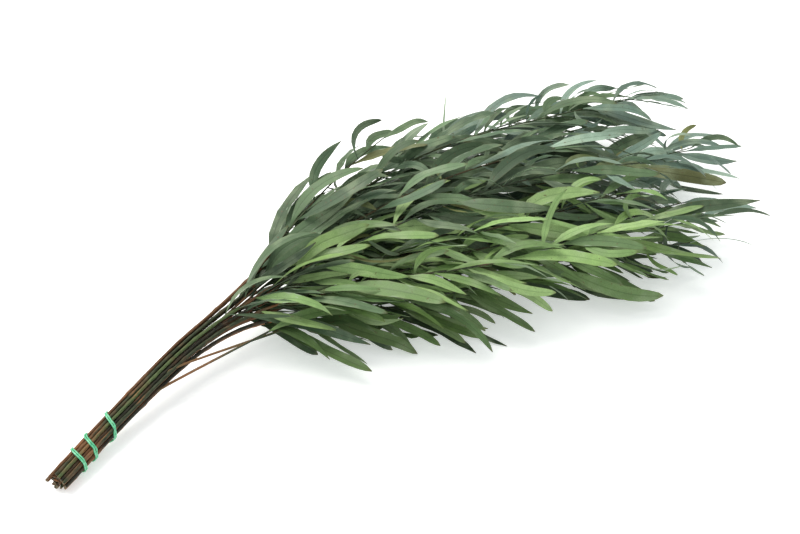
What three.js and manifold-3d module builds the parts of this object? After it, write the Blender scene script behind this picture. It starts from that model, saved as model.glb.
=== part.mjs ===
// A tied bunch of preserved willow eucalyptus, lying on a table.
//
// Woody stems stand side by side in an elastic tie near their cut ends, then fan out sideways and
// a little upwards. Each stem ends in a leafy shoot, and side shoots grow from some of the stems.
// A shoot is one grown piece: a green twig and the leaves that are joined to it.
// +X runs along the bunch from the cut ends to the leaf tips, +Z is up, and the origin is the
// middle of the outline on the table. Every length is in millimetres.
import * as THREE from "three";
import { mergeVertices } from "three/addons/utils/BufferGeometryUtils.js";
import Module from "manifold-3d";

const wasm = await Module();
wasm.setup();

// ---------------------------------------------------------------- driving dimensions
const STEM_COUNT = 22;
const STEM_PITCH = 3.5; // between neighbouring stems inside the tie
const STEM_RADIUS = [1.3, 1.58]; // at the cut end, thinnest and thickest
const STEM_TAPER = 0.72; // radius where the leafy shoot begins, as a share of the cut end's
const STEM_SIDES = 6;
const STEM_STEPS = 7;
const CUT_UNEVEN = 7; // how far the cut ends stand in front of or behind each other
const BRANCH_LENGTH = [612, 752]; // cut end to the end of the twig
const LINE_STEPS = 12; // in the line of one stem or of one twig
const SHOOT_STARTS = [205, 300]; // where a stem turns into its leafy shoot
const SHOOT_GAP = 0.5; // between a stem's end and its shoot

// The spine, the line in the middle of all the stems: it leaves the tie sideways and upwards, and
// bends over towards the leaf tips.
const SPINE = [[0, 0, 11], [70, 38, 20], [155, 75, 34], [250, 93, 46], [340, 97, 54], [470, 96, 60],
  [600, 84, 56], [770, 56, 42]];
// How many times wider and higher than the tied bundle the fan is: [distance, sideways, upwards].
const FAN_SPREADS = [[0, 1, 1], [70, 1, 1], [150, 1.25, 1.15], [210, 1.9, 1.6], [300, 5.4, 3.6],
  [430, 10.8, 6], [570, 13.4, 6.3], [740, 14.6, 5.4]];
const FAN_WANDER = 0.2; // how far a stem strays from its place, as a share of the gap beside it
const FAN_STEPS = 26;
const OUTER_SHORTER = 0.05; // how much shorter the outermost branches are, which rounds the fan's end

const TWIG_TIP_RADIUS = 0.75;
const SIDE_TWIG_RADIUS = 0.95;
const TWIG_CORNER = 1.3; // a twig's section is a triangle, whose corners stand this far out of its radius
const LEAF_SCAR = 1.3; // half the length of the facet that a leaf grows from

const LEAF_LENGTH = [60, 102];
const LEAF_SLENDERNESS = [6.3, 9.4]; // length over width
const LEAF_KEEL = 0.9; // depth of the blade under its margins
const LEAF_STATIONS = [0, 0.34, 0.7, 1]; // places along the blade that have a section
const LEAF_WIDTHS = [0, 0.97, 0.84, 0]; // width at each station, as a share of the widest
const LEAF_SPACING = 19; // along the twig
const LEAF_OPENING = [20, 58]; // degrees between a leaf's root and its twig
const LAST_OPENING = [2, 14]; // the same for the leaf at the twig's end
const LEAF_SWEEP = new THREE.Vector3(0, -0.72, -0.22); // the way that most leaves have been combed
const LEAF_SPREAD = 0.6; // how far a root leans up or down, as a share of how far it leans sideways
const TIP_LEAVES = { from: 0.85, size: 0.75 }; // the young leaves at a twig's end are shorter
const LEAF_TRIES = 26; // directions a leaf tries before its bud stays empty
const TRY_TURN = 0.9; // how far round the twig the next direction is
const TRY_SHORTER = 0.012; // what each try takes off a leaf's length
const STALK_BITE = 0.02; // cubic millimetres that a leaf may share with its twig
const LEAF_GAP = 0.4; // clear space kept between neighbours
const TABLE_GAP = 0.25;

const TIE_RADIUS = 0.65; // of one elastic strand
const TIE_GAP = 0.35; // between a strand and what it touches
const TIE_STATIONS = [[0, 25], [0.5, 30], [1.5, 45], [2.5, 70], [3, 79]]; // [turns, distance]
const TIE_STEPS = 14; // in a turn

// Two side shoots leave the near side of the bundle low down, and are bare for their first third:
// [rank of the stem from the near side, where it leaves the stem, length, first leaf's share].
const LOW_SIDE_SHOOTS = [[0, 118, 320, 0.33], [1, 142, 300, 0.36]];
const LOW_OPENING = [0.4, 0.52]; // sideways run for each millimetre forwards
const LOW_SINKS = [50, 70]; // how much lower the end is than a straight shoot's
const TWIG_LOWEST = 8; // height that no side shoot's line goes under
const SIDE_SHOOT_COUNT = 14;
const SIDE_SHOOT_LEAVES_AT = [205, 400]; // distance along the stem, kept short of the stem's end
const SIDE_SHOOT_LENGTH = [120, 195];
const SIDE_OPENING = [0.14, 0.36];
const SIDE_SINKS = [0, 25]; // the same for the other side shoots

const MATERIALS = {
  bark: new THREE.MeshStandardMaterial({ color: 0x4a3a2c, roughness: 0.85, metalness: 0 }),
  leaf: new THREE.MeshStandardMaterial({ color: 0x4f7350, roughness: 0.6, metalness: 0 }),
  elastic: new THREE.MeshStandardMaterial({ color: 0x53c48b, roughness: 0.5, metalness: 0 }),
};

const UP = new THREE.Vector3(0, 0, 1);
const GOLDEN_ANGLE = THREE.MathUtils.degToRad(137.5);

// ---------------------------------------------------------------- chance, repeatable
let seed = 20417;
function chance() {
  seed = (seed + 0x6d2b79f5) | 0;
  let mixed = Math.imul(seed ^ (seed >>> 15), 1 | seed);
  mixed = (mixed + Math.imul(mixed ^ (mixed >>> 7), 61 | mixed)) ^ mixed;
  return ((mixed ^ (mixed >>> 14)) >>> 0) / 4294967296;
}
const between = (low, high) => low + (high - low) * chance();
const radians = THREE.MathUtils.degToRad;

// ---------------------------------------------------------------- solids
// A closed geometry's merged corners, and its triangles.
function template(geometry) {
  geometry.deleteAttribute("normal");
  geometry.deleteAttribute("uv");
  const merged = mergeVertices(geometry, 1e-4);
  return { corners: merged.getAttribute("position"), triangles: new Uint32Array(merged.index.array) };
}

function solidOf({ corners, triangles }) {
  return new wasm.Manifold(
    new wasm.Mesh({ numProp: 3, vertProperties: corners.array, triVerts: triangles }));
}

// The directions across and above a line that runs along a tangent. across x above = tangent.
function frameOf(tangent, roll = 0) {
  const side = new THREE.Vector3().crossVectors(UP, tangent).normalize().applyAxisAngle(tangent, roll);
  return { side, above: new THREE.Vector3().crossVectors(tangent, side) };
}
const offset = (point, { side, above }, x, z) =>
  point.clone().addScaledVector(side, x).addScaledVector(above, z);

// A woody stem: a round rod that tapers along its curve.
const STEM_SHAPE = template(new THREE.CylinderGeometry(1, 1, 1, STEM_SIDES, STEM_STEPS));
function stemSolid(curve, startRadius, endRadius) {
  const points = new Float32Array(STEM_SHAPE.corners.count * 3);
  for (let i = 0; i < STEM_SHAPE.corners.count; i++) {
    const t = STEM_SHAPE.corners.getY(i) + 0.5;
    const radius = THREE.MathUtils.lerp(startRadius, endRadius, t);
    const frame = frameOf(curve.getTangentAt(t));
    offset(curve.getPointAt(t), frame, STEM_SHAPE.corners.getX(i) * radius,
      -STEM_SHAPE.corners.getZ(i) * radius).toArray(points, i * 3);
  }
  return solidOf({ corners: { array: points }, triangles: STEM_SHAPE.triangles });
}

// Skins are lists of triangles, each of three points. Rings of three corners run anticlockwise
// round the direction in which they follow each other. A twisted wall is folded along whichever
// diagonal bulges outwards, so that a thin blade never turns inside out.
const wallBetween = (from, to) => [0, 1, 2].flatMap((k) => {
  const [a, b, c, d] = [from[k], from[(k + 1) % 3], to[(k + 1) % 3], to[k]];
  const [ab, ac, ad] = [b, c, d].map((corner) => corner.clone().sub(a));
  return ab.dot(ac.cross(ad)) <= 0 ? [[a, b, c], [a, c, d]] : [[a, b, d], [b, c, d]];
});
const firstCap = ([a, b, c]) => [[a, c, b]];
const lastCap = ([a, b, c]) => [[a, b, c]];
const toTip = (ring, tip) => [0, 1, 2].map((k) => [ring[k], ring[(k + 1) % 3], tip]);

function skinSolid(skin) {
  return solidOf(template(new THREE.BufferGeometry().setFromPoints(skin.flat())));
}

// Everything that is already in its place, with its box, so that what comes next keeps clear.
const placed = [];
function keep(solid, owner) {
  const { min, max } = solid.boundingBox();
  placed.push({ solid, min, max, owner });
}

function isClear(solid, owner = null) {
  const { min, max } = solid.boundingBox();
  if (min[2] < TABLE_GAP / 2) return false;
  return placed.every((other) => {
    if (owner !== null && other.owner === owner) return true;
    for (let axis = 0; axis < 3; axis++)
      if (other.min[axis] > max[axis] + LEAF_GAP || other.max[axis] < min[axis] - LEAF_GAP) return true;
    return gapBetween(solid, other.solid) >= LEAF_GAP;
  });
}

// The clear space between two solids, measured no further than a little past the gap that matters.
const gapBetween = (a, b) => a.minGap(b, LEAF_GAP * 1.01);

// ---------------------------------------------------------------- the fan of stems
// The value at x of a smooth line through rows of [x, value, ...].
function along(rows, x, column) {
  const last = rows.length - 2;
  let i = rows.findIndex((row, n) => n === last || x < rows[n + 1][0]);
  i = Math.max(i, 0);
  const [from, to] = [rows[i], rows[i + 1]];
  const slope = (n) => {
    const [a, b] = [rows[Math.max(n - 1, 0)], rows[Math.min(n + 1, rows.length - 1)]];
    return (b[column] - a[column]) / (b[0] - a[0]);
  };
  const span = to[0] - from[0];
  const t = (x - from[0]) / span;
  if (t > 1) return to[column] + slope(i + 1) * (x - to[0]);
  const [t2, t3] = [t * t, t * t * t];
  return from[column] * (2 * t3 - 3 * t2 + 1) + to[column] * (3 * t2 - 2 * t3)
    + span * (slope(i) * (t3 - 2 * t2 + t) + slope(i + 1) * (t3 - t2));
}

// Places in the tie: the nearest points to the middle of a triangular grid.
function bundlePlaces() {
  const places = [];
  for (let row = -4; row <= 4; row++)
    for (let step = -4; step <= 4; step++)
      places.push({ y: (step + (row & 1) / 2 + 0.2) * STEM_PITCH, z: row * STEM_PITCH * Math.sqrt(3) / 2 });
  return places.sort((a, b) => Math.hypot(a.y, a.z) - Math.hypot(b.y, b.z)).slice(0, STEM_COUNT);
}

const spine = new THREE.CatmullRomCurve3(SPINE.map((point) => new THREE.Vector3(...point)));
const spineLength = spine.getLength();

// A point beside and above the spine, at a distance along it.
function besideSpine(distance, y, z) {
  const t = THREE.MathUtils.clamp(distance / spineLength, 0, 1);
  return offset(spine.getPointAt(t), frameOf(spine.getTangentAt(t)), y, z);
}

// One branch's line from its cut end to the end of its twig.
function branchLine(place, start, length) {
  const phases = [between(0, 6.28), between(0, 6.28)];
  const stray = STEM_PITCH * FAN_WANDER;
  const points = [];
  for (let i = 0; i <= FAN_STEPS; i++) {
    const x = start + (length - start) * i / FAN_STEPS;
    const [wide, high] = [along(FAN_SPREADS, x, 1), along(FAN_SPREADS, x, 2)];
    const y = place.y * wide + stray * (wide - 1) * Math.sin(x / 70 + phases[0]);
    const z = place.z * high + stray * (high - 1) * Math.sin(x / 55 + phases[1]);
    points.push(besideSpine(x, y, z));
  }
  return new THREE.CatmullRomCurve3(points);
}

// The stretch of a curve between two shares of its length.
function stretch(curve, from, to) {
  const points = [];
  for (let i = 0; i <= LINE_STEPS; i++)
    points.push(curve.getPointAt(THREE.MathUtils.lerp(from, to, i / LINE_STEPS)));
  return new THREE.CatmullRomCurve3(points);
}

function makeBranches() {
  const places = bundlePlaces();
  const outermost = Math.hypot(places.at(-1).y, places.at(-1).z);
  return places.map((place) => {
    const start = between(0, CUT_UNEVEN);
    const outward = Math.hypot(place.y, place.z) / outermost;
    const length = between(...BRANCH_LENGTH) * (1 - OUTER_SHORTER * outward ** 2);
    const radius = between(...STEM_RADIUS);
    const whole = branchLine(place, start, length);
    const woody = between(...SHOOT_STARTS) / length;
    const gap = SHOOT_GAP / length;
    const line = stretch(whole, 0, woody);
    const solid = stemSolid(line, radius, radius * STEM_TAPER);
    return { place, radius, line, solid, shoot: stretch(whole, woody + gap, 1) };
  });
}

// ---------------------------------------------------------------- the elastic tie
// The outline of the tied stems: their outermost reach in each direction, as a taut band meets it.
function tieOutline(branches, angle) {
  const reach = (a) => Math.max(...branches.map(({ place, radius }) =>
    place.y * Math.cos(a) + place.z * Math.sin(a) + radius));
  const turn = 1e-3;
  const support = reach(angle) + TIE_GAP + TIE_RADIUS;
  const slope = (reach(angle + turn) - reach(angle - turn)) / (2 * turn);
  return { y: support * Math.cos(angle) - slope * Math.sin(angle),
    z: support * Math.sin(angle) + slope * Math.cos(angle) };
}

// A doubled elastic loop wound round the stems: one strand runs out, turns back and returns beside
// itself, so that every turn shows two strands.
function makeTie(branches) {
  const steps = TIE_STEPS * TIE_STATIONS.at(-1)[0];
  const strandOffset = TIE_RADIUS + TIE_GAP / 2;
  const strand = (direction) => {
    const points = [];
    for (let i = 0; i <= steps; i++) {
      const turns = i / TIE_STEPS;
      const { y, z } = tieOutline(branches, -Math.PI / 2 - 2 * Math.PI * turns);
      points.push(besideSpine(along(TIE_STATIONS, turns, 1) + direction * strandOffset, y, z));
    }
    return points;
  };
  const loop = new THREE.CatmullRomCurve3([...strand(-1), ...strand(1).reverse()], true, "centripetal");
  return solidOf(template(new THREE.TubeGeometry(loop, 2 * steps + 6, TIE_RADIUS, 4, true)));
}

// ---------------------------------------------------------------- leaves
// The sections of a lance-shaped blade: flat between its margins, with a keel under its midrib.
function bladeRings({ line, width, roll, twist }) {
  return [1, 2].map((station) => {
    const at = LEAF_STATIONS[station];
    const frame = frameOf(line.getTangent(at), roll + twist * at);
    const half = width * LEAF_WIDTHS[station] / 2;
    const centre = line.getPoint(at);
    centre.z = Math.max(centre.z, TABLE_GAP + LEAF_KEEL + half * Math.abs(frame.side.z));
    return [[half, 0], [-half, 0], [0, -LEAF_KEEL]].map(([x, z]) => offset(centre, frame, x, z));
  });
}

// A leaf grows out of a facet of its twig: the facet's corners are joined to the blade's first
// section, in whichever order turns the stalk least.
function leafSkins(facet, leaf) {
  const [first, second] = bladeRings(leaf);
  const turned = [0, 1, 2].map((by) => [0, 1, 2].map((k) => facet[(k + by) % 3]));
  const stretchOf = (corners) => corners.reduce((sum, c, k) => sum + c.distanceToSquared(first[k]), 0);
  const root = turned.sort((a, b) => stretchOf(a) - stretchOf(b))[0];
  const tip = leaf.line.getPoint(1);
  tip.z = Math.max(tip.z, TABLE_GAP + LEAF_KEEL);
  const blade = [...wallBetween(first, second), ...toTip(second, tip)];
  const whole = [...wallBetween(root, first), ...blade];
  return { whole, closed: [...firstCap(root), ...whole], blade: [...firstCap(first), ...blade] };
}

// Where a leaf goes: it leaves the twig sideways, then bends back along it and sweeps over.
function leafLine(base, tangent, { opening, around, bow, sweep, length }) {
  const { side, above } = frameOf(tangent);
  const radial = side.multiplyScalar(Math.cos(around));
  radial.addScaledVector(above, LEAF_SPREAD * Math.sin(around));
  const out = tangent.clone().multiplyScalar(Math.cos(opening)).addScaledVector(radial, Math.sin(opening));
  const back = out.clone().lerp(tangent, 0.5 + bow).addScaledVector(LEAF_SWEEP, 0.5 * sweep).normalize();
  const end = out.clone().lerp(tangent, 0.8 + 2 * bow).addScaledVector(LEAF_SWEEP, sweep).normalize();
  const points = [base.clone()];
  [out.normalize(), back, end].forEach((direction) =>
    points.push(points[points.length - 1].clone().addScaledVector(direction, length / 3)));
  return new THREE.CubicBezierCurve3(...points);
}

// Tries directions until the leaf fits between everything that has grown before it.
function growLeaf(shoot, index) {
  const last = index === shoot.leafCount - 1;
  const t = shoot.leafAt(index);
  const tangent = shoot.line.getTangentAt(t);
  for (let attempt = 0; attempt < LEAF_TRIES; attempt++) {
    const size = (t > TIP_LEAVES.from ? TIP_LEAVES.size : 1) * (1 - TRY_SHORTER * attempt);
    const length = between(...LEAF_LENGTH) * size;
    const around = index * GOLDEN_ANGLE + shoot.phase + attempt * TRY_TURN;
    const opening = radians(between(...(last ? LAST_OPENING : LEAF_OPENING)));
    const aim = { length, opening, around, bow: between(-0.1, 0.12), sweep: between(0.2, 1.4) };
    const facet = last ? shoot.rings.at(-1) : shoot.facetFacing(index, around);
    const base = facet[0].clone().add(facet[1]).add(facet[2]).divideScalar(3);
    const skins = leafSkins(facet, { line: leafLine(base, tangent, aim),
      width: length / between(...LEAF_SLENDERNESS), roll: between(-0.7, 0.7), twist: between(-0.5, 0.5) });
    const solid = skinSolid(skins.closed);
    if (solid.volume() <= 0 || solid.intersect(shoot.twig).volume() > STALK_BITE) continue;
    if (!isClear(solid, shoot.name)) continue;
    if (gapBetween(skinSolid(skins.blade), shoot.twig) < LEAF_GAP) continue;
    if (shoot.leaves.some((other) => gapBetween(solid, other.solid) < LEAF_GAP)) continue;
    shoot.leaves.push({ solid, skin: skins.whole, facet });
    keep(solid, shoot.name);
    return;
  }
}

// ---------------------------------------------------------------- shoots
// A twig has a short facet for each of its leaves, and its end is the root of its last leaf.
function makeShoot(name, line, radius, firstLeaf) {
  const length = line.getLength();
  const leafCount = Math.max(3, Math.round(length * (1 - firstLeaf) / LEAF_SPACING));
  const leafAt = (index) => THREE.MathUtils.lerp(firstLeaf, 1, index / (leafCount - 1));
  const stations = [0];
  for (let i = 0; i < leafCount - 1; i++)
    stations.push(leafAt(i) - LEAF_SCAR / length, leafAt(i) + LEAF_SCAR / length);
  stations.push(1);
  const rings = stations.map((t) => {
    const reach = THREE.MathUtils.lerp(radius, TWIG_TIP_RADIUS, t) * TWIG_CORNER;
    const frame = frameOf(line.getTangentAt(t));
    return [0, 1, 2].map((k) => Math.PI * (0.5 + 2 * k / 3)).map((a) =>
      offset(line.getPointAt(t), frame, reach * Math.cos(a), reach * Math.sin(a)));
  });
  const walls = rings.slice(1).flatMap((ring, i) => wallBetween(rings[i], ring));
  const twig = skinSolid([...firstCap(rings[0]), ...walls, ...lastCap(rings.at(-1))]);
  const facetFacing = (index, around) => {
    const turn = Math.round((around / Math.PI - 0.5) * 1.5 - 0.5);
    return walls[(2 * index + 1) * 6 + 2 * (((turn % 3) + 3) % 3)];
  };
  return { name, line, rings, walls, twig, leafCount, leafAt, facetFacing, leaves: [],
    phase: between(0, 6.28) };
}

// The whole shoot as one closed skin: each leaf takes the place of the facet it grows from.
function grownSolid({ rings, walls, leaves }) {
  const taken = new Set(leaves.map((leaf) => leaf.facet));
  const end = taken.has(rings.at(-1)) ? [] : lastCap(rings.at(-1));
  const bare = walls.filter((wall) => !taken.has(wall));
  return skinSolid([...firstCap(rings[0]), ...bare, ...end, ...leaves.flatMap((leaf) => leaf.skin)]);
}

// A side shoot leaves its stem at a narrow angle, on a side where it finds room.
function sideShoot(name, stem, at, length, firstLeaf, opening, sideways, sinks) {
  const total = stem.line.getLength();
  const t = Math.min(at / total, 0.97);
  const foot = stem.line.getPointAt(t);
  const tangent = stem.line.getTangentAt(t);
  const side = new THREE.Vector3().crossVectors(UP, tangent).normalize();
  const stemRadius = THREE.MathUtils.lerp(stem.radius, stem.radius * STEM_TAPER, t);
  for (let attempt = 0; attempt < 60; attempt++) {
    const around = sideways === null ? between(0, 6.28) : sideways + between(-0.5, 0.5);
    const radial = side.clone().multiplyScalar(Math.cos(around)).addScaledVector(UP, Math.sin(around));
    const start = foot.clone().addScaledVector(radial, stemRadius + SIDE_TWIG_RADIUS + LEAF_GAP);
    const out = tangent.clone().addScaledVector(radial, between(...opening)).normalize();
    const end = start.clone().addScaledVector(out, length * 0.45);
    end.addScaledVector(tangent, length * 0.55);
    end.z = Math.max(end.z - between(...sinks), TWIG_LOWEST);
    const middle = start.clone().addScaledVector(out, length * 0.5);
    middle.z = Math.max(middle.z, TWIG_LOWEST);
    const line = new THREE.CatmullRomCurve3(
      new THREE.QuadraticBezierCurve3(start, middle, end).getPoints(8));
    const shoot = makeShoot(name, line, SIDE_TWIG_RADIUS, firstLeaf);
    if (isClear(shoot.twig)) return shoot;
  }
  return null;
}

const label = (word, index) => word + "_" + String(index + 1).padStart(2, "0");

function makeShoots(branches) {
  const shoots = branches.map((branch, i) =>
    makeShoot(label("leafy_shoot", i), branch.shoot, branch.radius * STEM_TAPER, 0.04));
  shoots.forEach((shoot) => keep(shoot.twig, shoot.name));
  const outermost = branches.map((_, i) => i).sort((a, b) => branches[a].place.y - branches[b].place.y);
  const wanted = LOW_SIDE_SHOOTS.map(([rank, ...rest]) =>
    [outermost[rank], ...rest, LOW_OPENING, Math.PI, LOW_SINKS]);
  for (let i = wanted.length; i < SIDE_SHOOT_COUNT; i++)
    wanted.push([Math.floor(chance() * STEM_COUNT), between(...SIDE_SHOOT_LEAVES_AT),
      between(...SIDE_SHOOT_LENGTH), 0.12, SIDE_OPENING, null, SIDE_SINKS]);
  wanted.forEach(([stem, ...rest], i) => {
    const shoot = sideShoot(label("side_shoot", i), branches[stem], ...rest);
    if (!shoot) return;
    keep(shoot.twig, shoot.name);
    shoots.push(shoot);
  });
  return shoots;
}

// ---------------------------------------------------------------- assembly
function meshOf(name, solid, material) {
  const { vertProperties, triVerts } = solid.getMesh();
  const geometry = new THREE.BufferGeometry();
  geometry.setAttribute("position", new THREE.BufferAttribute(new Float32Array(vertProperties), 3));
  geometry.setIndex(new THREE.BufferAttribute(new Uint32Array(triVerts), 1));
  geometry.computeVertexNormals();
  const mesh = new THREE.Mesh(geometry, material);
  mesh.name = name;
  return mesh;
}

const bunch = new THREE.Group();
const branches = makeBranches();
branches.forEach(({ solid }) => keep(solid, null));
const tie = makeTie(branches);
keep(tie, null);
const shoots = makeShoots(branches);

const mostLeaves = Math.max(...shoots.map((shoot) => shoot.leafCount));
for (let index = 0; index < mostLeaves; index++)
  for (const shoot of shoots) {
    const counted = shoot.leafCount - 1 - index; // from the tip back, so that every tip has its leaf
    if (counted >= 0) growLeaf(shoot, counted);
  }

branches.forEach(({ solid }, i) => bunch.add(meshOf(label("woody_stem", i), solid, MATERIALS.bark)));
shoots.forEach((shoot) => bunch.add(meshOf(shoot.name, grownSolid(shoot), MATERIALS.leaf)));
bunch.add(meshOf("elastic_tie", tie, MATERIALS.elastic));

const outline = new THREE.Box3().setFromObject(bunch);
const middle = outline.getCenter(new THREE.Vector3());
bunch.position.set(-middle.x, -middle.y, -outline.min.z);

export default bunch;
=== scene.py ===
# %% [markdown]
# # A tied bunch of preserved willow eucalyptus
#
# Florists sell willow eucalyptus in tied bunches: some twenty woody stems held by an elastic near
# their cut ends, each ending in a long shoot of narrow, leathery leaves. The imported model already
# fixes where every stem, twig and leaf goes. This script reads those places back from it and grows
# the fine surface there: bark with nodes and scars, round twigs, thin bent leaves with a midrib,
# and a round elastic.

# %% Load the fixed frame
import math
import random

import bmesh
import bpy
from mathutils import Matrix, Quaternion, Vector
from mathutils.bvhtree import BVHTree


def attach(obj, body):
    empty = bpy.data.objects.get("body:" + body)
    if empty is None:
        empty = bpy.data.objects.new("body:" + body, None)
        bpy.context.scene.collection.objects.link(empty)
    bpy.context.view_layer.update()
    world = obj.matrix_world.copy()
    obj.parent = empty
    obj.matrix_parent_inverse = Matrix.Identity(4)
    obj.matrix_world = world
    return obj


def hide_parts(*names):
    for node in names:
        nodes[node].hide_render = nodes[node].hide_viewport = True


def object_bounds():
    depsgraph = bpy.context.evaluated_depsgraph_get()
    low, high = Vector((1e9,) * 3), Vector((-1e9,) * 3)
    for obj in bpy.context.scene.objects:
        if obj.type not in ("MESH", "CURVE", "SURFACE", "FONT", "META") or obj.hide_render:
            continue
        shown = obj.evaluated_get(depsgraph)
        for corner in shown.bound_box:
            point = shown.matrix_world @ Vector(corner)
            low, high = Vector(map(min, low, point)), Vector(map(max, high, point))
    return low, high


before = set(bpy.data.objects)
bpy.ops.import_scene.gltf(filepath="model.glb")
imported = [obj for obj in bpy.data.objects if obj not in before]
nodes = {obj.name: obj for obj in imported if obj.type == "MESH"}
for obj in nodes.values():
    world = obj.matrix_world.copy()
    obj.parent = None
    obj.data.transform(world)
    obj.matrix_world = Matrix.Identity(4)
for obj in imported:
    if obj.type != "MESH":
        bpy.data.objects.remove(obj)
cad_low, cad_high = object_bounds()
MM = 0.001
UP = Vector((0, 0, 1))
chance = random.Random(754)
print("nodes:", len(nodes), "box in mm:", [round(v / MM) for v in (Vector(cad_high) - Vector(cad_low))])

# %% [markdown]
# ## Camera, floor and light
#
# The bunch lies on a white table and is seen from above its cut ends, which are at the lower left.
# A white world gives the shadowless light of a light tent, and one large soft lamp behind the far
# side gives the leaves their faint sheen. The table glows a little from within, painted light with no
# lamp under it, which leaves only a pale shadow under the leaves.

# %% Camera
AZIMUTH, ELEVATION = math.radians(-28), math.radians(44)
CAMERA_DISTANCE = 1.06
AIM = Vector((-27, -0.3, 34.5)) * MM

forward = Vector((-math.sin(AZIMUTH) * math.cos(ELEVATION), math.cos(AZIMUTH) * math.cos(ELEVATION),
                  -math.sin(ELEVATION)))
camera = bpy.data.objects.new("camera", bpy.data.cameras.new("camera"))
camera.data.lens = 50
camera.data.clip_end = 20
camera.location = AIM - forward * CAMERA_DISTANCE
camera.rotation_euler = forward.to_track_quat("-Z", "Y").to_euler()
bpy.context.scene.collection.objects.link(camera)
bpy.context.scene.camera = camera
print("camera at", [round(v, 3) for v in camera.location])


# %% Colours and nodes
def linear(hex_colour, alpha=1.0):
    """A colour given as sRGB hex, in the linear values that shaders work with."""
    parts = [int(hex_colour[i:i + 2], 16) / 255 for i in (1, 3, 5)]
    parts = [c / 12.92 if c <= 0.04045 else ((c + 0.055) / 1.055) ** 2.4 for c in parts]
    return (*parts, alpha)


def new_material(name):
    """An empty material, and its node tree."""
    material = bpy.data.materials.new(name)
    material.use_nodes = True
    material.node_tree.nodes.clear()
    return material, material.node_tree


def add_node(tree, kind, inputs=None, **settings):
    """Adds one node: settings are its properties, inputs are values or the sockets to link from."""
    node = tree.nodes.new("ShaderNode" + kind)
    for name, value in settings.items():
        setattr(node, name, value)
    for name, value in (inputs or {}).items():
        if isinstance(value, bpy.types.NodeSocket):
            tree.links.new(value, node.inputs[name])
        else:
            node.inputs[name].default_value = value
    return node


print("white as shaders see it:", linear("#ffffff"))

# %% Floor and light
FLOOR_SIZE = 8.0

acrylic, tree = new_material("matt_white_acrylic")
# The emission is painted light: the floor glows with no lamp behind it, which pales the shadow under the
# bunch.
surface = add_node(tree, "BsdfPrincipled", {
    "Base Color": linear("#f6f8f8"), "Roughness": 0.9, "Specular IOR Level": 0.2,
    "Emission Color": linear("#fbfdfc"), "Emission Strength": 0.36})
add_node(tree, "OutputMaterial", {"Surface": surface.outputs["BSDF"]})

shape = bmesh.new()
bmesh.ops.create_grid(shape, x_segments=1, y_segments=1, size=FLOOR_SIZE / 2)
floor = bpy.data.objects.new("floor", bpy.data.meshes.new("floor"))
shape.to_mesh(floor.data)
shape.free()
floor.data.materials.append(acrylic)
bpy.context.scene.collection.objects.link(floor)

world = bpy.data.worlds.new("light_tent")
world.use_nodes = True
world.node_tree.nodes["Background"].inputs["Color"].default_value = linear("#fbfdff")
world.node_tree.nodes["Background"].inputs["Strength"].default_value = 0.8
bpy.context.scene.world = world

lamp = bpy.data.objects.new("softbox", bpy.data.lights.new("softbox", "AREA"))
lamp.data.shape = "DISK"
lamp.data.size = 1.6
lamp.data.energy = 44
lamp.data.color = linear("#fffaf2")[:3]
lamp.location = (-0.55, 0.9, 1.9)
lamp.rotation_euler = (-lamp.location).to_track_quat("-Z", "Y").to_euler()
bpy.context.scene.collection.objects.link(lamp)
bpy.context.scene.view_settings.view_transform = "Standard"
print("lamp at", tuple(lamp.location))

# %% [markdown]
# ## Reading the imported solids
#
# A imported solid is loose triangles, so a copy is merged before it is read. The copy is then walked
# from corner to corner: a woody stem is a row of rings, a shoot's twig is a row of rings of three,
# and a leaf is a tip, two blade sections of three corners each, and the facet that it grows from.


# %% Walk a solid ring by ring
SAME_CORNER = 0.002 * MM  # corners closer together than this are one


def merged_copy(node):
    """A node's solid as a bmesh whose shared corners are merged."""
    solid = bmesh.new()
    solid.from_mesh(nodes[node].data)
    bmesh.ops.remove_doubles(solid, verts=solid.verts, dist=SAME_CORNER)
    return solid


def neighbours(corners):
    """The corners one edge away from a set of corners."""
    return {edge.other_vert(v) for v in corners for edge in v.link_edges} - set(corners)


def middle(points):
    """The mean of some points, added up in the same order at every run."""
    points = sorted(points, key=tuple)
    return sum(points, Vector()) / len(points)


def rings_from(first, known):
    """Rings of corners, each the neighbours of the one before, leaving out the known corners."""
    rings = [first]
    seen = set(known) | set(first)
    while True:
        ring = neighbours(rings[-1]) - seen
        if not ring:
            return rings
        rings.append(ring)
        seen |= ring


elastic = merged_copy("elastic_tie")
print("corners in the packed elastic:", len(elastic.verts))
elastic.free()

# %% Read leaves and twigs
LEAF_STATIONS = (0.34, 0.7)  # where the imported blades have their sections
LEAF_LEAST = 12 * MM  # a leaf's tip is at least this far from the corners next to it
TWIG_CORNER = 1.3  # a packed twig is three-sided, with its corners this many times its radius out


def blade_section(ring):
    """A section's middle, its direction across, the way its upper face looks, and its width."""
    ring = sorted(ring, key=lambda v: tuple(v.co))
    a, b, keel = max(((a, b, c) for a in ring for b in ring for c in ring if len({a, b, c}) == 3),
                     key=lambda s: (s[0].co - s[1].co).length)
    centre = (a.co + b.co) / 2
    return centre, (a.co - b.co).normalized(), (centre - keel.co).normalized(), (a.co - b.co).length


def bezier_through(start, first, second, end):
    """The two handles of a Bezier curve that passes through both blade sections."""
    rows = []
    for t, point in zip(LEAF_STATIONS, (first, second)):
        rest = point - start * (1 - t) ** 3 - end * t ** 3
        rows.append((3 * (1 - t) ** 2 * t, 3 * (1 - t) * t ** 2, rest))
    (a, b, p), (c, d, q) = rows
    determinant = a * d - b * c
    return (p * d - q * b) / determinant, (q * a - p * c) / determinant


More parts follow.
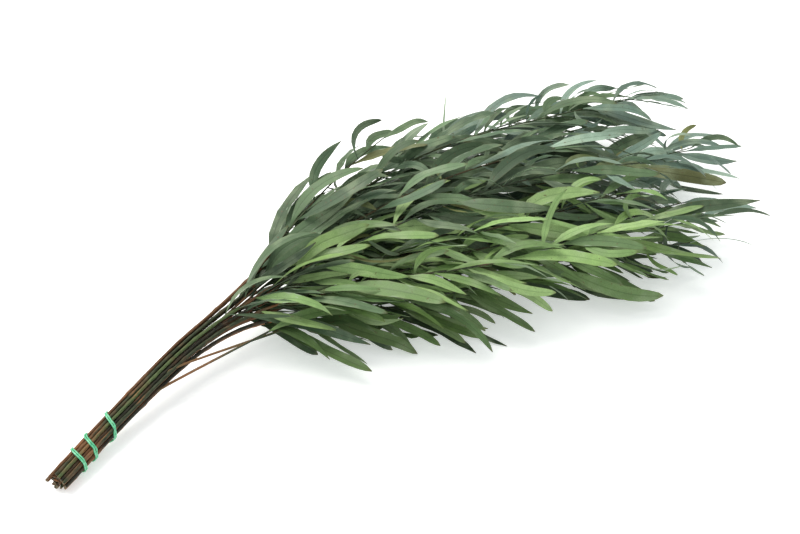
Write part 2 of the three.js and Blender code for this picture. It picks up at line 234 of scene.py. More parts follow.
def read_shoot(node):
    """A shoot's twig as a list of (point, radius), and its leaves as dictionaries."""
    solid = merged_copy(node)
    leaves, blades = [], set()
    for v in solid.verts:
        around = neighbours([v])
        if len(around) != 3 or min((o.co - v.co).length for o in around) < LEAF_LEAST:
            continue
        upper = neighbours(around) - {v}
        root = neighbours(upper) - around
        if len(upper) != 3 or len(root) != 3:
            continue
        blades |= around | upper | {v}
        first, second = blade_section(upper), blade_section(around)
        turned = -1 if first[1].dot(second[1]) < 0 else 1
        start, onward = middle(c.co for c in root), second[0] - first[0]
        leaves.append({
            "curve": (start, *bezier_through(start, first[0], second[0], v.co), v.co.copy()),
            "across": (first[1], second[1] * turned), "width": first[3],
            "hand": 1 if onward.cross(first[1]).dot(first[2]) > 0 else -1})
    bare = [v for v in solid.verts if v not in blades]
    first_ring = set(sorted(bare, key=lambda v: v.co.x)[:3])
    twig = []
    for ring in rings_from(first_ring, blades):
        centre = middle(v.co for v in ring)
        twig.append((centre, max((v.co - centre).length for v in ring)))
    solid.free()
    return twig, leaves


shoot_names = sorted(n for n in nodes if "shoot" in n)
shoots = {name: read_shoot(name) for name in shoot_names}
print("leaves read:", sum(len(leaves) for _, leaves in shoots.values()))

# %% [markdown]
# ## Tubes
#
# Stems, twigs and the elastic are round along a curve, and a leaf is a tube pressed flat. Each is bent
# from a plain upright tube, which is made once for each number of sides and steps and then moved
# corner by corner.


# %% A smooth line and an upright tube
def smooth_line(points, steps, closed=False):
    """Evenly many points of a Catmull-Rom curve through some points. A closed one ends where it starts."""
    if closed:
        points = [points[-1], *points, *points[:2]]
    else:
        points = [points[0] * 2 - points[1], *points, points[-1] * 2 - points[-2]]
    line = []
    spans = len(points) - 3
    for i in range(steps + 1):
        at = min(i / steps * spans, spans - 1e-6)
        k, t = int(at), at - int(at)
        a, b, c, d = points[k:k + 4]
        line.append(0.5 * (2 * b + (c - a) * t + (2 * a - 5 * b + 4 * c - d) * t ** 2
                           + (3 * b - a - 3 * c + d) * t ** 3))
    return line


templates = {}


def tube_template(sides, steps):
    """A closed upright tube of unit radius and unit length, whose walls are split into steps."""
    if (sides, steps) in templates:
        return templates[sides, steps]
    tube = bmesh.new()
    bmesh.ops.create_cone(tube, segments=sides, radius1=1, radius2=1, depth=1, cap_ends=True)
    walls = [e for e in tube.edges if abs(e.verts[0].co.z - e.verts[1].co.z) > 0.5]
    bmesh.ops.subdivide_edges(tube, edges=walls, cuts=steps - 1)
    for face in tube.faces:
        face.smooth = True
    for edge in tube.edges:
        edge.smooth = len({round(f.normal.z) for f in edge.link_faces}) == 1
    mesh = bpy.data.meshes.new("template")
    tube.to_mesh(mesh)
    tube.free()
    templates[sides, steps] = mesh
    return mesh


print("tube template faces:", len(tube_template(10, 4).polygons))

# %% Tubes along a line
MAP_LENGTH = 20 * MM  # how much of a tube one unit of its map covers, along it


def stand_in(shape, template, place):
    """Adds a template to a bmesh and moves its corners: place(turn, t, x, y) gives each one's point."""
    before = len(shape.verts)
    shape.from_mesh(template)
    shape.verts.ensure_lookup_table()
    corners = shape.verts[before:]
    for v in corners:
        v.co = place(math.atan2(v.co.y, v.co.x), v.co.z + 0.5, v.co.x, v.co.y)
    return corners


def frames_along(line):
    """For each point of a line: the point, the direction across and the one above, turned least."""
    frames = []
    above = UP
    for i, point in enumerate(line):
        onward = (line[min(i + 1, len(line) - 1)] - line[max(i - 1, 0)]).normalized()
        above = (above - onward * above.dot(onward)).normalized()
        frames.append((point, above.cross(onward), above))
    return frames


def length_of(line):
    """How long a line of points is."""
    return sum((b - a).length for a, b in zip(line, line[1:]))


def add_tube(shape, line, radius_at, sides, tone, layers):
    """Adds a closed tube along a line, with its tone and a map that runs around and along it.
    radius_at(t, turn) is its radius."""
    frames = frames_along(line)
    steps = len(line) - 1
    length = length_of(line)
    tone_layer, uv_layer = layers
    on_map = []

    def place(turn, t, x, y):
        point, across, above = frames[round(t * steps)]
        radius = radius_at(t, turn) * math.hypot(x, y)
        on_map.append((turn, t))
        return point + across * math.cos(turn) * radius + above * math.sin(turn) * radius

    corners = stand_in(shape, tube_template(sides, steps), place)
    mapped = dict(zip(corners, on_map))
    for v in corners:
        v[tone_layer] = tone
    for face in {f for v in corners for f in v.link_faces}:
        seam = max(mapped[v][0] for v in face.verts) - min(mapped[v][0] for v in face.verts) > math.pi
        for loop in face.loops:
            turn, t = mapped[loop.vert]
            turn += 2 * math.pi if seam and turn < 0 else 0
            loop[uv_layer].uv = (turn / (2 * math.pi), t * length / MAP_LENGTH)


print("a tube's map repeats along it every", round(MAP_LENGTH / MM), "mm")

# %% [markdown]
# ## Bark
#
# Young eucalyptus bark is thin, smooth and dull, streaked along the stem and stained at the old leaf
# nodes. A picture of bark would repeat and would have to be wrapped. Noise costs nothing and never
# repeats, so the streaks are noise on the stem's own map, stretched along it, and the stains are
# noise in space. Each stem also carries its own tone, from dark green to rusty brown, and the bark
# is rustier towards the cut ends, where handling has rubbed the dye off.


# %% Bark and cut wood
def bark_material(name, dark, light, stain):
    """Bark that is dull and slightly fibrous: matt in the furrows, a little polished on the ridges."""
    material, tree = new_material(name)
    place = add_node(tree, "TexCoord").outputs["Object"]
    along = add_node(tree, "UVMap", uv_map="along_stem").outputs["UV"]
    tone = add_node(tree, "Attribute", attribute_name="tone").outputs["Color"]
    streaks = add_node(tree, "Mapping", {"Vector": along, "Scale": (8.0, 3.5, 1.0)}).outputs["Vector"]
    noise = {}
    for key, vector, repeats, detail in (("grain", streaks, 1.0, 4.0), ("streak", streaks, 0.17, 1.0),
                                         ("stain", place, 1 / (14 * MM), 2.0),
                                         ("fleck", place, 1 / (1.4 * MM), 2.0)):
        noise[key] = add_node(tree, "TexNoise", {"Vector": vector, "Scale": repeats,
                                                 "Detail": detail}).outputs["Fac"]
    noise["rust"] = add_node(tree, "Math", {
        0: add_node(tree, "SeparateXYZ", {"Vector": along}).outputs["Y"], 1: -0.03, 2: noise["streak"]},
        operation="MULTIPLY_ADD").outputs["Value"]
    colour = linear(dark)
    for key, low, high, strength, over in (
            ("grain", 0.35, 0.68, 1.0, linear(light)), ("fleck", 0.0, 0.1, 0.8, tone),
            ("rust", 0.42, 0.52, 0.7, linear("#94603a")),
            ("stain", 0.52, 0.7, 0.5, linear(stain)), ("fleck", 0.6, 0.75, 0.45, linear(light)),
            ("grain", 0.5, 0.3, 0.6, linear("#11120c"))):
        mask = add_node(tree, "MapRange", {"Value": noise[key], "From Min": low, "From Max": high,
                                           "To Max": strength}).outputs["Result"]
        colour = add_node(tree, "Mix", {0: mask, 6: colour, 7: over}, data_type="RGBA").outputs[2]
    height = add_node(tree, "Math", {0: noise["grain"], 1: noise["fleck"]}, operation="ADD").outputs["Value"]
    bump = add_node(tree, "Bump", {"Height": height, "Strength": 0.6, "Distance": 0.4 * MM})
    rough = add_node(tree, "MapRange", {"Value": noise["grain"], "From Min": 0.3, "From Max": 0.7,
                                        "To Min": 0.82, "To Max": 0.55})
    surface = add_node(tree, "BsdfPrincipled", {
        "Base Color": colour, "Roughness": rough.outputs["Result"], "Normal": bump.outputs["Normal"],
        "Specular IOR Level": 0.35})
    add_node(tree, "OutputMaterial", {"Surface": surface.outputs["BSDF"]})
    return material


def cut_wood_material():
    """Wood cut across with shears, dulled and darkened by drying and dye."""
    material, tree = new_material("dried_cut_wood")
    place = add_node(tree, "TexCoord").outputs["Object"]
    colour = linear("#4c4433")
    for size, low, high, strength, over in (
            (0.7, 0.35, 0.65, 1.0, "#8a7a5a"), (3.8, 0.4, 0.65, 0.8, "#23251a")):
        noise = add_node(tree, "TexNoise", {"Vector": place, "Scale": 1 / (size * MM), "Detail": 3.0})
        mask = add_node(tree, "MapRange", {"Value": noise.outputs["Fac"], "From Min": low, "From Max": high,
                                           "To Max": strength}).outputs["Result"]
        colour = add_node(tree, "Mix", {0: mask, 6: colour, 7: linear(over)}, data_type="RGBA").outputs[2]
    bump = add_node(tree, "Bump", {"Height": noise.outputs["Fac"], "Strength": 0.6, "Distance": 0.3 * MM})
    surface = add_node(tree, "BsdfPrincipled", {"Base Color": colour, "Roughness": 0.88,
                                                "Normal": bump.outputs["Normal"]})
    add_node(tree, "OutputMaterial", {"Surface": surface.outputs["BSDF"]})
    return material


stem_bark = bark_material("eucalyptus_bark", "#2c2a1e", "#62583f", "#6b4a30")
twig_bark = bark_material("green_twig_bark", "#263020", "#566341", "#5e4630")
cut_wood = cut_wood_material()
print("bark and wood:", stem_bark.name, twig_bark.name, cut_wood.name)


# %% Finish a piece
def finish_piece(shape, name, materials, replaced):
    """Makes an object of a bmesh, lets it ride on the one body, and hides the imported part that it
    replaces.
    """
    mesh = bpy.data.meshes.new(name)
    shape.to_mesh(mesh)
    shape.free()
    for material in materials:
        mesh.materials.append(material)
    piece = bpy.data.objects.new(name, mesh)
    bpy.context.scene.collection.objects.link(piece)
    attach(piece, "root")
    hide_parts(replaced)


print("pieces to finish:", len(nodes))

# %% [markdown]
# ## The woody stems
#
# Each stem is bark over wood, about three millimetres thick, cut across with shears. A plain tapered
# rod would look like a straw. So each tube gets the swollen nodes where leaves once grew, with a scar
# on alternating sides, shallow furrows along it, and a cut end that leans its own way.

# %% Read the stems
CAP_REACH = 4 * MM  # only the corner in the middle of an end has all its neighbours this near


def read_stem(node):
    """The middles of a packed stem's rings, from its cut end on, and its radius there."""
    solid = merged_copy(node)
    caps = [v for v in solid.verts if max((o.co - v.co).length for o in neighbours([v])) < CAP_REACH]
    caps.sort(key=lambda v: v.co.x)
    rings = rings_from(neighbours([caps[0]]), caps)
    line = [middle(v.co for v in ring) for ring in rings if len(ring) > 3]
    radius = max((v.co - line[0]).length for v in rings[0])
    solid.free()
    return line, radius


stem_names = sorted(n for n in nodes if n.startswith("woody_stem"))
stems = {name: read_stem(name) for name in stem_names}
print("stem thickness in mm:", round(2 * max(radius for _, radius in stems.values()) / MM, 1))

# %% Grow the stems
STEM_SIDES = 10
STEM_STEP = 4 * MM  # between a stem's rings
FIRST_NODE = (4, 20)  # from the cut end to the first old leaf node, in millimetres
NODE_SPACING = (15, 32)  # between old leaf nodes, in millimetres
NODE_HALF = 2.4 * MM  # half the length of a node's swelling
NODE_TURN = math.pi * 0.75  # round the stem, from one scar to the next
CUT_RIM = 0.25 * MM
CUT_STEP = 0.05 * MM  # how far the wood stands out of its bark
CUT_REACH = 1.4  # how far round the middle of the cut its lean moves the bark, in stem radii
BOUGH_END = 0.95  # how thick a stem still is where its leaves begin, as a share of its cut end
STEM_FULLER = 1.12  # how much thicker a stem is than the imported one, whose sides are flat
STEM_SWELL = 11 * MM  # a radian of the swelling and thinning along a stem
STEM_TONES = ["#22331b", "#2c4023", "#22241a", "#352e20", "#935c36", "#2f4426", "#a06a42", "#262920",
              "#4a6034", "#6b482c"]


def grow_stem(node):
    """One woody stem with its nodes, scars, furrows and cut end."""
    line, radius = stems[node]
    length = length_of(line)
    scars = []
    at, side = chance.uniform(*FIRST_NODE) * MM, chance.uniform(0, 6.28)
    while at < length:
        scars.append((at, side))
        at += chance.uniform(*NODE_SPACING) * MM
        side += NODE_TURN
    phases = [chance.uniform(0, 6.28) for _ in range(3)]

    def radius_at(t, turn):
        furrow = 0.05 * math.sin(3 * turn + phases[0] + 3 * math.sin(t * 9 + phases[1]))
        swell = 0.05 * math.sin(t * length / STEM_SWELL + phases[2])
        for centre, facing in scars:
            near = math.exp(-((t * length - centre) / NODE_HALF) ** 2)
            swell += 0.15 * near + 0.34 * near * max(0.0, math.cos(turn - facing)) ** 4
        return radius * (1 + (BOUGH_END - 1) * t) * (STEM_FULLER + furrow + swell)

    shape = bmesh.new()
    layers = shape.verts.layers.float_color.new("tone"), shape.loops.layers.uv.new("along_stem")
    add_tube(shape, smooth_line(line, round(length / STEM_STEP)), radius_at, STEM_SIDES,
             linear(chance.choice(STEM_TONES)), layers)
    for face in [f for f in shape.faces if len(f.verts) == STEM_SIDES]:
        face.material_index = 1
        rim = bmesh.ops.inset_individual(shape, faces=[face], thickness=CUT_RIM, depth=CUT_STEP)
        for wall in rim["faces"]:
            wall.material_index = 0
    lean = (chance.uniform(-0.5, 0.5), chance.uniform(-0.7, 0.7))
    for v in shape.verts:
        if (v.co - line[0]).length < radius * CUT_REACH:
            v.co.x += (v.co.y - line[0].y) * lean[0] + (v.co.z - line[0].z) * lean[1]
    finish_piece(shape, node + "_bark", [stem_bark, cut_wood], node)


for name in stem_names:
    grow_stem(name)
print("stems grown:", len(stem_names))

# %% [markdown]
# ## The leaves
#
# A preserved willow eucalyptus leaf is a thin, leathery strap, seven to fourteen millimetres wide,
# on a short round stalk. It is sickle-shaped, wavy at the margins, and ends bluntly or in a hook.
# Modelling one leaf finely and copying it would make them all alike, and a fine mesh would be far too
# heavy hundreds of times over. So each leaf is bent afresh from one flattened tube of a few dozen
# faces, which is round at the stalk and opens into a blade that folds slightly along its midrib.
#
# Leaves soak up glycerine and dye, so their skin is satin rather than glossy. The midrib is a fine
# groove on the face, darkened with painted shade, and a pale ridge on the paler back.


# %% Leaf surface
def leaf_material(name, back):
    """Skin that is satin where it is smooth and dull where it is mottled. The pattern follows the
    leaf's own map, which runs across from margin to margin and along from stalk to tip."""
    material, tree = new_material(name)
    place = add_node(tree, "TexCoord").outputs["Object"]
    leaf_map = add_node(tree, "UVMap", uv_map="leaf").outputs["UV"]
    tone = add_node(tree, "Attribute", attribute_name="tone").outputs["Color"]
    across, along, _ = add_node(tree, "SeparateXYZ", {"Vector": leaf_map}).outputs
    value = {"along": along, "off": across}
    for key, first, second, operation in (
            ("off", "off", 0.5, "SUBTRACT"), ("off", "off", 0.0, "ABSOLUTE"),
            ("lean", "off", 0.16, "MULTIPLY"), ("lean", "along", "lean", "SUBTRACT"),
            ("lean", "lean", 190.0, "MULTIPLY"), ("veins", "lean", 0.0, "SINE")):
        value[key] = add_node(tree, "Math", {0: value[first], 1: value.get(second, second)},
                              operation=operation).outputs["Value"]
    for key, size, detail in (
            ("mottle", 10, 3.0), ("patches", 26, 2.0), ("grain", 1.0, 3.0), ("spots", 3.2, 2.0)):
        value[key] = add_node(tree, "TexNoise", {"Vector": place, "Scale": 1 / (size * MM),
                                                 "Detail": detail}).outputs["Fac"]
    shade = add_node(tree, "Mix", {0: 1.0, 6: tone, 7: (0.42, 0.46, 0.40, 1)}, data_type="RGBA",
                     blend_type="MULTIPLY").outputs[2]
    colour = tone
    for key, low, high, strength, over in (
            ("mottle", 0.62, 0.38, 0.32, shade), ("patches", 0.5, 0.7, 0.4, linear("#9fae8c")),
            ("grain", 0.6, 0.42, 0.22, shade), ("veins", 0.6, 1.0, 0.12, shade),
            # On the face the midrib is darkened with painted shade in its groove; on the back it is its own
            # pale colour.
            ("off", 0.06, 0.015, 0.55, linear("#b3bf9c") if back else shade),
            ("off", 0.45, 0.5, 0.35, linear("#75734a")), ("spots", 0.68, 0.74, 0.7, linear("#57462c")),
            ("along", 0.94, 1.0, 0.45, linear("#6b5a38")),
            ("grain", 0.0, 0.1, 0.42 if back else 0.0, linear("#9cae98"))):
        mask = add_node(tree, "MapRange", {"Value": value[key], "From Min": low, "From Max": high,
                                           "To Max": strength}).outputs["Result"]
        colour = add_node(tree, "Mix", {0: mask, 6: colour, 7: over}, data_type="RGBA").outputs[2]
    groove = add_node(tree, "MapRange", {"Value": value["off"], "From Min": 0.02, "From Max": 0.08})
    height = groove.outputs["Result"]
    for key, share in (("veins", 0.12), ("grain", 0.7), ("mottle", 0.8)):
        height = add_node(tree, "Math", {0: value[key], 1: share, 2: height},
                          operation="MULTIPLY_ADD").outputs["Value"]
    bump = add_node(tree, "Bump", {"Height": height, "Strength": 0.4, "Distance": 0.3 * MM}, invert=back)
    rough = add_node(tree, "MapRange", {"Value": value["mottle"], "From Min": 0.3, "From Max": 0.7,
                                        "To Min": 0.62 if back else 0.46, "To Max": 0.76 if back else 0.64})
    surface = add_node(tree, "BsdfPrincipled", {
        "Base Color": colour, "Roughness": rough.outputs["Result"], "Normal": bump.outputs["Normal"],
        "Specular IOR Level": 0.42})
    add_node(tree, "OutputMaterial", {"Surface": surface.outputs["BSDF"]})
    return material


leaf_face = leaf_material("preserved_leaf_face", back=False)
leaf_back = leaf_material("preserved_leaf_back", back=True)
print("leaf skins:", leaf_face.name, leaf_back.name)

# %% One leaf from a tube
LEAF_SIDES, LEAF_STEPS = 8, 10
LEAF_PLACES = [1 - (1 - i / LEAF_STEPS) ** 1.3 for i in range(LEAF_STEPS + 1)]  # closer at the tip
STALK_RADIUS = 0.5 * MM
LEAF_THICKNESS = 0.42 * MM
STALK_SHARE = 0.06  # of the leaf's length
MARGIN_SHIFT = 2.2  # radians that the waves of one margin run ahead of the other's
TIP_HALF = (0.45 * MM, 0.14 * MM)  # half the width and half the thickness at the very tip
TABLE_CLEARANCE = 0.25 * MM


def leaf_template():
    """The flattened tube that every leaf is bent from. Its lower half is the leaf's back."""
    tube = bmesh.new()
    tube.from_mesh(tube_template(LEAF_SIDES, LEAF_STEPS))
    off_axis = min(abs(math.atan2(v.co.y, v.co.x)) for v in tube.verts if v.co.xy.length > 0.5)
    bmesh.ops.rotate(tube, verts=tube.verts, matrix=Matrix.Rotation(off_axis, 3, "Z"))
    for face in tube.faces:
        face.material_index = 1 if face.calc_center_median().y < 0 else 0
    for edge in tube.edges:
        edge.smooth = len({f.material_index for f in edge.link_faces}) == 1
    mesh = bpy.data.meshes.new("leaf_template")
    tube.to_mesh(mesh)
    tube.free()
    return mesh


LEAF = leaf_template()


def blade_width(t, blunt):
    """Half the blade's width at a share of its length, as a share of its widest half."""
    at = (t - STALK_SHARE) / (1 - STALK_SHARE)
    if at <= 0:
        return 0.0
    rise = math.sin(min(at / 0.32, 1.0) * math.pi / 2) ** 0.8
    past = min(max(at - 0.46, 0) / 0.54, 1)
    return rise * ((1 - past ** 4) ** 0.6 if blunt else (1 - past ** 2.3) ** 0.9)


def leaf_frames(leaf):
    """The leaf's middle line with the direction across and the way its face looks, step by step."""
    a, b, c, d = leaf["curve"]
    line = [a * (1 - t) ** 3 + b * 3 * t * (1 - t) ** 2 + c * 3 * t * t * (1 - t) + d * t ** 3
            for t in LEAF_PLACES]
    frames = []
    for i, (point, t) in enumerate(zip(line, LEAF_PLACES)):
        onward = (line[min(i + 1, LEAF_STEPS)] - line[max(i - 1, 0)]).normalized()
        across = leaf["across"][0].lerp(leaf["across"][1], min(max((t - 0.34) / 0.36, -0.6), 1.6))
        across = (across - onward * across.dot(onward)).normalized()
        across.rotate(Quaternion(onward, leaf["turn"] * (t - 0.3)))
        face = onward.cross(across) * leaf["hand"]
        sway = leaf["bow"] * math.sin(math.pi * t) + leaf["hook"] * max(0.0, t - 0.6) ** 2 * 6
        lift = leaf["curl"] * max(0.0, t - 0.45) ** 2 * 3
        frames.append((point + across * sway * MM + face * lift * MM, across, face))
    return frames


def add_leaf(shape, leaf, layers):
    """Adds one bent leaf to a shoot's mesh."""
    frames = leaf_frames(leaf)
    tone_layer, uv_layer = layers
    on_map = []

    def place(turn, t, x, y):
        step = round(t * LEAF_STEPS)
        point, across, face = frames[step]
        t = LEAF_PLACES[step]
        x, y = (math.cos(turn), math.sin(turn)) if math.hypot(x, y) > 0.5 else (0.0, 0.0)
        opening = blade_width(t, leaf["blunt"])
        wide = max(leaf["width"] / 2 * opening, STALK_RADIUS * (1 - 0.4 * t))
        thick = STALK_RADIUS if opening == 0 else LEAF_THICKNESS / 2
        if step == LEAF_STEPS:
            wide, thick = TIP_HALF
        bend = leaf["fold"] * abs(x) * wide * min(opening, 1)
        ahead = MARGIN_SHIFT if x > 0 else 0
        wave = leaf["wave"] * math.sin(t * leaf["waves"] + ahead) * x * x * opening
        on_map.append((0.5 + 0.5 * x, t))
        spot = point + across * (x * wide * leaf["hand"]) + face * (y * thick + bend + wave * MM)
        spot.z = max(spot.z, TABLE_CLEARANCE + (y + 1) * thick / 2)
        return spot

    corners = stand_in(shape, LEAF, place)
    mapped = dict(zip(corners, on_map))
    for v in corners:
        v[tone_layer] = leaf["tone"]
    for loop in (loop for f in {f for v in corners for f in v.link_faces} for loop in f.loops):
        loop[uv_layer].uv = mapped[loop.vert]


print("leaf faces:", len(LEAF.polygons))

# %% How each leaf differs
TONES = {  # the greens that one bunch holds
    "deep": ["#435a3d", "#4e6646", "#5b7551", "#557054", "#475d43", "#65805c"],
    "fresh": ["#84a55f", "#8fb26e", "#78995a", "#6e8d55", "#5c7a4b", "#9bba78"],
    "blue": ["#5f786a", "#6e8879", "#7b9386", "#869f8b", "#647c6e", "#93ab99"],
    "dull": ["#6f7a48", "#7d8450", "#66683f", "#5c6a42"]}
DULL_SHARE = 0.04
SHADE_HEIGHT = 62 * MM  # leaves lower than this get painted shade, the darker the lower they lie
LOW_SHADE_SHARE = 0.42  # of the full colour that a leaf on the table keeps under its painted shade
SHADE_DROPS_FROM = 0.6  # past this share of the length the bunch opens, and the painted shade starts lower
FRESH_FROM, FRESH_TO = 0.38, 0.68  # where along the bunch the fresh green shows
FRESH_LEAST = 20 * MM  # the lowest leaves are seldom fresh
BESIDE = 50 * MM  # how far along the bunch the twigs beside a leaf reach


def share_along(point):
    """How far along the bunch a point is, from 0 at the cut ends to 1 at the leaf tips."""
    return (point.x - cad_low[0]) / (cad_high[0] - cad_low[0])


def give_character(leaf, family, size=1.0):
    """The bends, waves and colour that make one leaf differ from the next, with painted shade on the low
    ones.
    """
    leaf["bow"] = chance.uniform(-6.5, 6.5) * size
    leaf["hook"] = chance.uniform(-8, 8) * size
    leaf["curl"] = chance.uniform(-14, 6) * size
    leaf["turn"] = chance.uniform(-0.9, 0.9) * size
    leaf["fold"] = chance.uniform(0.02, 0.28)
    leaf["wave"] = chance.uniform(0.0, 0.9)
    leaf["waves"] = chance.uniform(9, 24)
    leaf["blunt"] = chance.random() < 0.65
    tones = TONES["dull" if chance.random() < DULL_SHARE else family]
    first, second = (Vector(linear(chance.choice(tones))) for _ in range(2))
    centre = middle(leaf["curve"])
    # Painted shade: a leaf is darker the lower it lies in the heap, where shade falls among the leaves.
    lit_share = min(centre.z / (SHADE_HEIGHT * min(1 + SHADE_DROPS_FROM - share_along(centre), 1)), 1)
    shade_factor = LOW_SHADE_SHARE + (1 - LOW_SHADE_SHARE) * lit_share
    tone = first.lerp(second, chance.random()) * chance.uniform(0.8, 1.18) * shade_factor
    leaf["tone"] = (*tone[:3], 1.0)
    return leaf


def family_of(point):
    """Which of the bunch's greens grows at a place: fresh at the near side, blue at the far end."""
    along = share_along(point)
    beside = [p.y for p in twig_points if abs(p.x - point.x) < BESIDE]
    aside = sum(y < point.y for y in beside) / max(len(beside), 1)
    past_fresh = max(along - FRESH_TO, FRESH_FROM - along, 0)
    shaded = 0.7 if point.z < FRESH_LEAST else 0
    pull = {"fresh": 1.0 - 1.9 * aside - 4 * past_fresh - shaded,
            "blue": 2.6 * (along - 0.64) + 0.1 * aside, "deep": 0.35}
    return max(pull, key=lambda family: pull[family] + chance.uniform(-0.3, 0.3))


twig_points = [p for twig, _ in shoots.values() for p, _ in twig]
print("tones:", {family: len(tones) for family, tones in TONES.items()})

# %% [markdown]
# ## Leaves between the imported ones
#
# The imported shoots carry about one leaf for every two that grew. The others are added here, between
# them on the same twigs. Placing them by hand would take days, and scattering them at random would
# push leaves through each other. So a new leaf is tried in several directions and kept only where it
# cuts through none of the leaves that are already there.

# %% Room for a leaf
taken = {}  # the box and the search tree of every leaf in place, for each slice across the bunch
SLICE = 20 * MM
OVER_THE_BOX = 2 * MM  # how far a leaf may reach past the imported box


def slices_of(low, high):
    """The numbers of the slices that a box reaches into."""
    return range(int(low[0] // SLICE), int(high[0] // SLICE) + 1)


def leaf_tree(leaf):
    """A leaf on its own, as its box and a tree that finds crossings."""
    shape = bmesh.new()
    add_leaf(shape, leaf, (shape.verts.layers.float_color.new("tone"), shape.loops.layers.uv.new("leaf")))
    points = [v.co for v in shape.verts]
    low = [min(p[i] for p in points) for i in range(3)]
    high = [max(p[i] for p in points) for i in range(3)]
    tree = BVHTree.FromBMesh(shape)
    shape.free()
    return low, high, tree


def has_room(low, high, tree):
    """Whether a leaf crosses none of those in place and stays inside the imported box."""
    if any(low[i] < cad_low[i] - OVER_THE_BOX or high[i] > cad_high[i] + OVER_THE_BOX for i in range(3)):
        return False
    return not any(
        all(other_low[i] < high[i] and other_high[i] > low[i] for i in range(3)) and tree.overlap(other)
        for at in slices_of(low, high)
        for other_low, other_high, other in taken.get(at, ()))


def take_room(low, high, tree):
    """Notes that a leaf is in place."""
    for at in slices_of(low, high):
        taken.setdefault(at, []).append((low, high, tree))


print("slices across the bunch:", len(slices_of(cad_low, cad_high)))

# %% Settle a packed leaf
BEND_TRIES = 5  # after the first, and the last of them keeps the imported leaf's own curve


def settle_packed(leaf, family):
    """Gives a packed leaf its bends, gentler at each try until it crosses no other leaf. The last try
    stays in any case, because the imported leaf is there."""
    for attempt in range(BEND_TRIES + 1):
        give_character(leaf, family, 1 - attempt / BEND_TRIES)
        found = leaf_tree(leaf)
        if has_room(*found):
            break
    take_room(*found)


print("tries for a packed leaf:", BEND_TRIES + 1)

# %% One more leaf
EXTRA_LENGTH = (52, 112)  # in millimetres
EXTRA_SLENDER = (6.4, 10)  # a leaf's length over its width
EXTRA_WIDEST = 12 * MM
EXTRA_OPENING = (18, 72)  # degrees between a leaf's root and its twig
EXTRA_SWEEP = (0.1, 1.5)  # how strongly a leaf follows the sweep
EXTRA_BEND = 0.8  # of a packed leaf's bends
EXTRA_TRIES = 7
TRY_TURN = 1.1  # radians round the twig from one try to the next
TRY_SHORTER = 0.06  # how much of its length each further try takes off
STRAY_SHARE, STRAY_SIZE = 0.3, 0.8  # strays are shorter leaves that lie across the others
STRAY_OPENING, STRAY_SWEEP = (55, 110), (-0.4, 0.9)
STRAYS_FROM = 0.38  # share of the bunch's length with no strays
SWEEP = Vector((0, -0.75, -0.25))  # the way that most leaves have been combed


def extra_leaf(base, onward, around, shorter):
    """A leaf that leaves its twig sideways, bends back along it and sweeps over with the others."""
    side = UP.cross(onward).normalized()
    above = onward.cross(side)
    radial = side * math.cos(around) + above * math.sin(around) * 0.6
    length = chance.uniform(*EXTRA_LENGTH) * MM * shorter
    stray = share_along(base) > STRAYS_FROM and chance.random() < STRAY_SHARE
    length *= STRAY_SIZE if stray else 1
    opening = math.radians(chance.uniform(*(STRAY_OPENING if stray else EXTRA_OPENING)))
    sweep = chance.uniform(*(STRAY_SWEEP if stray else EXTRA_SWEEP))
    out = (onward * math.cos(opening) + radial * math.sin(opening)).normalized()
    back = (out.lerp(onward, 0.5) + SWEEP * sweep * 0.5).normalized()
    end = (out.lerp(onward, 0.85) + SWEEP * sweep).normalized()
    first = base + out * length / 3
    second = first + back * length / 3
    across = UP.cross(out).normalized()
    across.rotate(Quaternion(out, chance.uniform(-0.8, 0.8)))
    return {"curve": (base, first, second, second + end * length / 3), "across": (across, across),
            "hand": 1, "width": min(length / chance.uniform(*EXTRA_SLENDER), EXTRA_WIDEST)}


def fill_bud(shape, bud, onward, around, layers):
    """Adds a leaf at a bud if one of its tries finds room, and tells whether it did."""
    family = family_of(bud)
    for attempt in range(EXTRA_TRIES):
        leaf = extra_leaf(bud, onward, around + attempt * TRY_TURN, 1 - TRY_SHORTER * attempt)
        give_character(leaf, family, EXTRA_BEND)
        found = leaf_tree(leaf)
        if has_room(*found):
            take_room(*found)
            add_leaf(shape, leaf, layers)
            return True
    return False


print("lengths of the added leaves in mm:", EXTRA_LENGTH)

# %% [markdown]
# ## Leaves that stand out
#
# Here and there a long leaf arches over the others. Chance would seldom put one where it shows, so
# each of these has a start, a tip and an arch of its own. It grows on the twig nearest to its start,
# and it is raised until it clears the leaves below.

# %% Arched leaves
# Where each starts and where its tip lies, in millimetres, how far it arches up, and its width.
STANDOUTS = [((60, 112, 88), (128, 84, 108), 14, 10), ((-173, 6, 25), (-133, -41, 5), 8, 13)]
RAISES = range(0, 21, 3)  # how much higher each try is, in millimetres
ARCHED_BEND = 0.5  # of a packed leaf's bends


def standout(row):
    """The node of the shoot that an arched leaf grows on, and the leaf, or None if it has no room."""
    start, tip, arch, width = row
    start, tip = Vector(start) * MM, Vector(tip) * MM
    node, base = min(((name, p) for name, (twig, _) in shoots.items() for p, _ in twig),
                     key=lambda found: (found[1] - start).length)
    for raised in RAISES:
        lift = UP * (arch + raised) * MM
        end = tip + UP * raised * MM
        leaf = {"curve": (base, base.lerp(end, 0.3) + lift, base.lerp(end, 0.7) + lift, end), "hand": 1,
                "across": (UP.cross(end - base).normalized(),) * 2, "width": width * MM}
        give_character(leaf, "deep", ARCHED_BEND)
        found = leaf_tree(leaf)
        if has_room(*found):
            take_room(*found)
            return node, leaf
    return node, None


print("leaves to stand out:", len(STANDOUTS))

# %% [markdown]
# ## The shoots
#
# A twig forks off its stem without a seam, so each round twig starts a little way inside the stem
# that carries it. Its leaves and the extra ones are one piece with it, as they grew.

# %% Lead a twig out of its stem
STEM_POINTS = 40  # how finely a stem's line is searched for the fork
TUCK = 3  # how many of those points a twig runs inside its stem

